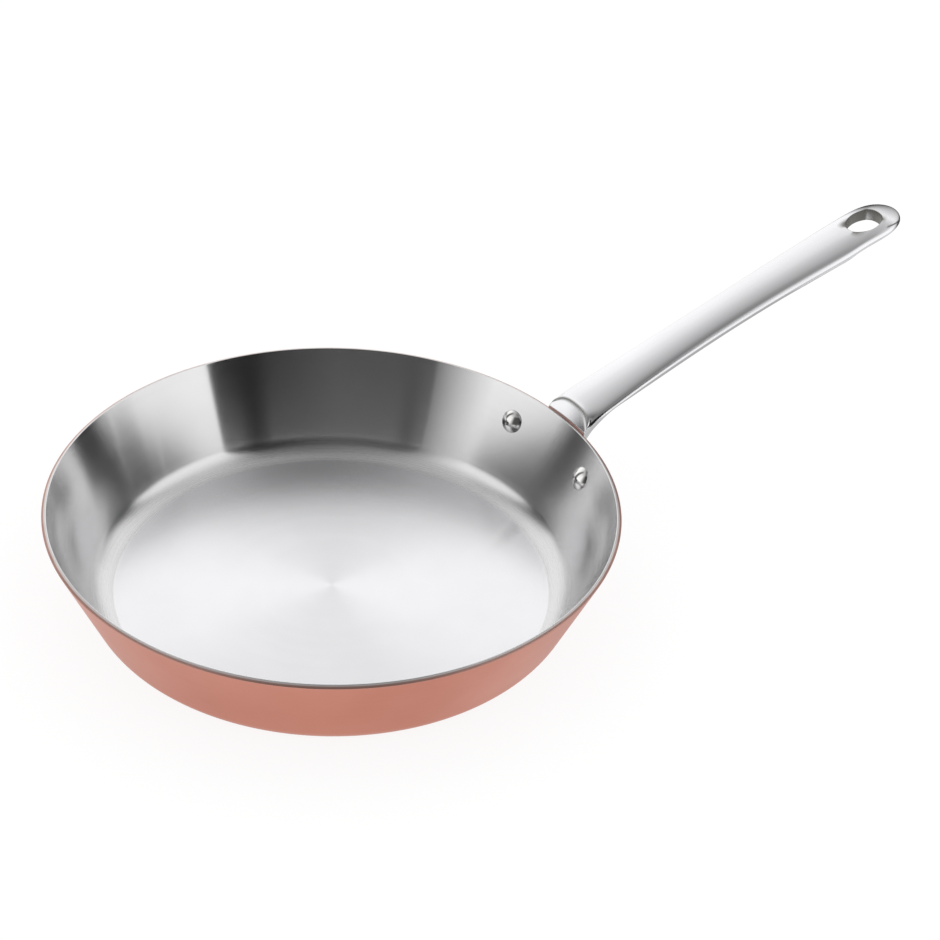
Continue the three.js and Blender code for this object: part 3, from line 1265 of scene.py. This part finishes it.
    def _in_hole(self, vert: bmesh.types.BMVert) -> bool:
        """Whether a point is on the hole's wall, below its rounded lip."""
        sizes = self.sizes
        if not self._by_hole(vert):
            return False
        along = (vert.co.x - sizes.hole_x) / (sizes.hole_length / 2)
        across = vert.co.y / (sizes.hole_width / 2)
        return along**2 + across**2 < self.hole_wall_reach**2

    def _on_brow(self, edge: bmesh.types.BMEdge) -> bool:
        """Whether an edge lies on the arc in which the root's inner face ends above the rim."""
        return all(
            self._row_of(vert) is Row.TOP
            and abs(vert[self.column]) < self.bar_columns
            and vert.co.x < self.sizes.neck_x + self.root_step / 2
            for vert in edge.verts
        )

    def _along_brow(self, vert: bmesh.types.BMVert) -> bool:
        """Whether a point is in the middle of the brow's rounded edge."""
        if self._row_of(vert) is not Row.TOP or abs(vert[self.column]) >= self.bar_columns:
            return False
        corner = self._wall_place(vert[self.column], Row.TOP, self.sizes.rivets.clearance)
        return (vert.co - corner).length < self.brow_round / 2

    def _on_crease(self, edge: bmesh.types.BMEdge) -> bool:
        """Whether an edge runs along the bar's top crease, from the rim and round the tail."""
        return all(
            self._row_of(vert) is Row.TOP and abs(vert[self.column]) == self.bar_columns
            for vert in edge.verts
        )

    def _bevel(
        self, chosen: Callable[[bmesh.types.BMEdge], bool], offset: float, clamp: bool = True
    ) -> None:
        """Rounds the chosen edges by a pair of faces on each.

        Args:
            chosen: Says whether an edge is rounded.
            offset: Distance from the edge to where the rounding starts.
            clamp: Whether one narrow face limits the offset on all the edges.
        """
        bmesh.ops.bevel(
            self.shape,
            geom=[edge for edge in self.shape.edges if chosen(edge)],
            offset=offset,
            segments=2,
            profile=0.5,
            affect="EDGES",
            material=-1,
            clamp_overlap=clamp,
        )


@dataclass(frozen=True)
class Handle:
    """The handle: a flange on the wall, a bar that rises from it, and a tail with a hanging hole."""

    sizes: HandleSizes = HandleSizes()
    smooth_levels: int = 3

    def build(self, effects: SurfaceEffects) -> None:
        """Models and dresses the handle.

        Args:
            effects: The shared node groups.
        """
        cage = HandleCage(self.sizes).draw()
        piece = finish_mesh(cage, "handle_polished", pi)
        smooth = piece.modifiers.new("smooth", "SUBSURF")
        smooth.levels = self.smooth_levels
        smooth.render_levels = self.smooth_levels
        mount_piece(piece, "handle", POLISHED_STEEL.material(effects))


# The studio and the camera


@dataclass(frozen=True)
class PhotoCamera:
    """The camera, set by where it stands from the rim's middle and where that falls in the picture."""

    bowl: BowlSizes = BowlSizes()
    focal_pixels: float = 3000.0
    sensor: float = 36.0
    elevation: float = radians(35.94)
    azimuth: float = radians(-32.68)
    distance: float = 1348.93 * MM
    roll: float = radians(-0.716)
    rim_right: float = -137.18
    rim_down: float = 35.04
    clip_start: float = 0.05
    clip_end: float = 50.0

    @property
    def rim_middle(self) -> Vector:
        """Middle of the rim's outer edge."""
        return Vector((0, 0, self.bowl.rim_height))

    @property
    def toward(self) -> Vector:
        """Direction from the rim's middle to the camera."""
        level = Vector((sin(self.azimuth), -cos(self.azimuth), 0))
        return level * cos(self.elevation) + Vector((0, 0, sin(self.elevation)))

    def build(self) -> None:
        """Sets up the scene's camera."""
        lens = bpy.data.cameras.new("camera")
        lens.sensor_width = self.sensor
        lens.lens = self.focal_pixels / PHOTO_PIXELS * self.sensor
        lens.clip_start = self.clip_start
        lens.clip_end = self.clip_end
        camera = bpy.data.objects.new("camera", lens)
        bpy.context.scene.collection.objects.link(camera)
        camera.matrix_world = self._stand()
        bpy.context.scene.camera = camera

    def _stand(self) -> Matrix:
        """Place and turn of the camera, which looks along its own -Z.

        Returns:
            The camera's matrix.
        """
        facing = (-self.toward).to_track_quat("-Z", "Y")
        seen = Vector((self.rim_right, -self.rim_down, -self.focal_pixels)).normalized()
        aim = Vector((0, 0, -1)).rotation_difference(seen)
        tilt = Matrix.Rotation(-self.roll, 3, "Z")
        turn = facing.to_matrix() @ tilt @ aim.to_matrix().inverted()
        place = self.rim_middle + self.toward * self.distance
        return Matrix.Translation(place) @ turn.to_4x4()


def hang_card(shape: bmesh.types.BMesh, name: str, glow: float) -> bpy.types.Object:
    """Makes a studio card that only reflections show.

    Args:
        shape: The card's bmesh, whose cover layer says how much the card hides, from 0 to 1.
        name: Name of the card.
        glow: Strength of its plain glow, where 1 is white.

    Returns:
        The card.
    """
    card = finish_mesh(shape, name, pi)
    material, board = new_material(name)
    share = board.add("ShaderNodeAttribute", attribute_name=COVER_LAYER).outputs["Fac"]
    clear = board.add("ShaderNodeBsdfTransparent").outputs[0]
    light = board.add("ShaderNodeEmission", {"Strength": glow}).outputs[0]
    mix = board.add("ShaderNodeMixShader", {0: share, 1: clear, 2: light})
    board.surface(mix.outputs[0])
    card.data.materials.append(material)
    card.visible_camera = False
    card.visible_shadow = False
    card.visible_diffuse = False
    return card


def swing(shape: bmesh.types.BMesh, facing: float, azimuth: float) -> None:
    """Turns a card from the X axis to its azimuth from the camera.

    Args:
        shape: The card's bmesh.
        facing: Azimuth of the camera.
        azimuth: Azimuth of the card from the camera, in degrees, above 0 to the right.
    """
    turn = Matrix.Rotation(facing - pi / 2 + radians(azimuth), 3, "Z")
    bmesh.ops.rotate(shape, verts=shape.verts, cent=(0, 0, 0), matrix=turn)


@dataclass(frozen=True)
class Card:
    """A curved card that stands round the pan, seen only in reflections.

    Its sides are azimuths from the camera and its edges are elevations, all in degrees from the pan.
    """

    name: str
    start: float
    stop: float
    low: float
    high: float
    glow: float
    start_fade: float = 0.0
    stop_fade: float = 0.0
    top_fade: float = 0.0
    radius: float = 5.1
    steps: int = 48

    def build(self, facing: float) -> bpy.types.Object:
        """Bends the card round the Z axis.

        Args:
            facing: Azimuth of the camera.

        Returns:
            The card.
        """
        pen = SectionPen(self._edge(self.low))
        pen.line(self._edge(self.high - self.top_fade))
        if self.top_fade > 0:
            pen.line(self._edge(self.high))
        shape = pen.turn(self.steps, radians(self.stop - self.start))
        cover = shape.verts.layers.float.new(COVER_LAYER)
        for vert in shape.verts:
            vert[cover] = self._cover(vert.co)
        swing(shape, facing, self.start)
        return hang_card(shape, self.name, self.glow)

    def _edge(self, elevation: float) -> Vector:
        """Radius and height of an edge at an elevation."""
        return Vector((self.radius, self.radius * tan(radians(elevation))))

    def _cover(self, spot: Vector) -> float:
        """How much the card hides at a place, less towards its faded sides."""
        turn = degrees(atan2(spot.y, spot.x)) % 360
        rise = degrees(atan2(spot.z, self.radius))
        insets = (turn, self.stop - self.start - turn, self.high - rise)
        fades = (self.start_fade, self.stop_fade, self.top_fade)
        shares = [inset / fade for inset, fade in zip(insets, fades) if fade > 0]
        return max(0.0, min([1.0, *shares]))


@dataclass(frozen=True)
class LevelCard:
    """A round card that lies level, seen only in reflections.

    Its azimuth is in degrees from the camera. It fades from its full radius out to its edge.
    """

    name: str
    azimuth: float
    distance: float
    height: float
    full: float
    edge: float
    glow: float
    steps: int = 64

    def build(self, facing: float) -> bpy.types.Object:
        """Lays the card at its azimuth and distance.

        Args:
            facing: Azimuth of the camera.

        Returns:
            The card.
        """
        pen = SectionPen(Vector((0, self.height)))
        pen.line(Vector((self.full, self.height)))
        pen.line(Vector((self.edge, self.height)))
        shape = pen.turn(self.steps)
        cover = shape.verts.layers.float.new(COVER_LAYER)
        for vert in shape.verts:
            vert[cover] = min(1.0, (self.edge - vert.co.xy.length) / (self.edge - self.full))
        bmesh.ops.translate(shape, verts=shape.verts, vec=(self.distance, 0, 0))
        swing(shape, facing, self.azimuth)
        return hang_card(shape, self.name, self.glow)


@dataclass(frozen=True)
class Studio:
    """A white table in soft white light, with cards that only reflections show."""

    floor_radius: float = 8.0
    floor_steps: int = 96
    floor_colour: Colour = (0.8, 0.8, 0.8)
    lift_colour: Colour = (0.14, 0.14, 0.14)
    lift_glow: float = 0.88
    sky_strength: float = 1.0
    cards: tuple[Card | LevelCard, ...] = (
        Card("front flag", -41, 51, -8, 65, 0.005),
        Card("front wall", -41, 40, -8, 65, 0.09, stop_fade=40, radius=4.95),
        Card("left shade", -66, -41, -8, 65, 0.2, start_fade=25),
        Card("left gap", -126, -97, -8, 60, 0.1, start_fade=10, stop_fade=10),
        Card("right gap", 103, 126, -8, 60, 0.1, start_fade=10, stop_fade=10),
        Card("soft light", 51, 319, -2, 52, 1.18, top_fade=26, radius=5.7),
        LevelCard("ceiling", 0, 0, 9.0, 1.65, 9.9, 0.42),
        LevelCard("front ceiling", 25, 2.0, 8.9, 0.5, 4.0, 0.16),
        LevelCard("table shade", 110, 0.28, 0.001, 0.06, 0.24, 0.5),
        LevelCard("strip shade", 71, 0.58, 0.001, 0.18, 0.42, 0.5),
        LevelCard("tail shade", 141, 0.42, 0.001, 0.03, 0.08, 0.1),
        Card("tail flag", 105, 154, 0, 31, 0.06, start_fade=12, stop_fade=6, top_fade=19, radius=0.5),
    )

    def build(self, facing: float) -> None:
        """Sets up the floor, the cards and the sky.

        Args:
            facing: Azimuth of the camera.
        """
        self._floor()
        for card in self.cards:
            card.build(facing)
        self._sky()

    def _backdrop_share(self, board: NodeBoard) -> bpy.types.NodeSocket:
        """1 on rays that show the background, straight or in a reflection, and 0 on the rest."""
        path = board.add("ShaderNodeLightPath")
        straight = path.outputs["Is Camera Ray"]
        mirrored = board.math("MAXIMUM", path.outputs["Is Glossy Ray"], path.outputs["Is Transmission Ray"])
        return board.math("MAXIMUM", straight, mirrored)

    def _floor(self) -> bpy.types.Object:
        """A white floor that keeps the pan's shadow.

        Returns:
            The floor.
        """
        shape = bmesh.new()
        bmesh.ops.create_circle(shape, cap_ends=True, segments=self.floor_steps, radius=self.floor_radius)
        floor = finish_mesh(shape, "floor", pi)
        material, board = new_material("white floor")
        plain = board.add("ShaderNodeBsdfDiffuse", {"Color": (*self.floor_colour, 1)})
        shaded = board.add("ShaderNodeBsdfDiffuse", {"Color": (*self.lift_colour, 1)})
        glow = board.add("ShaderNodeEmission", {"Strength": self.lift_glow})
        lifted = board.add("ShaderNodeAddShader", {0: shaded.outputs[0], 1: glow.outputs[0]})
        feeds = {0: self._backdrop_share(board), 1: plain.outputs[0], 2: lifted.outputs[0]}
        mix = board.add("ShaderNodeMixShader", feeds)
        board.surface(mix.outputs[0])
        floor.data.materials.append(material)
        return floor

    def _sky(self) -> None:
        """An even white sky."""
        world = bpy.data.worlds.new("white sky")
        world.use_nodes = True
        bpy.context.scene.world = world
        board = NodeBoard(world.node_tree)
        feeds = {"Color": (1, 1, 1, 1), "Strength": self.sky_strength}
        board.feed(board.tree.nodes["Background"], feeds)


def main() -> None:
    """Builds the pan, its studio and the camera."""
    logging.basicConfig(level=logging.INFO, format="%(name)s: %(message)s")
    bpy.context.scene.view_settings.view_transform = "Standard"
    effects = SurfaceEffects()
    effects.build()
    Bowl().build(effects)
    Rivets().build(effects)
    Handle().build(effects)
    camera = PhotoCamera()
    camera.build()
    Studio().build(camera.azimuth)


if __name__ == "__main__":
    main()
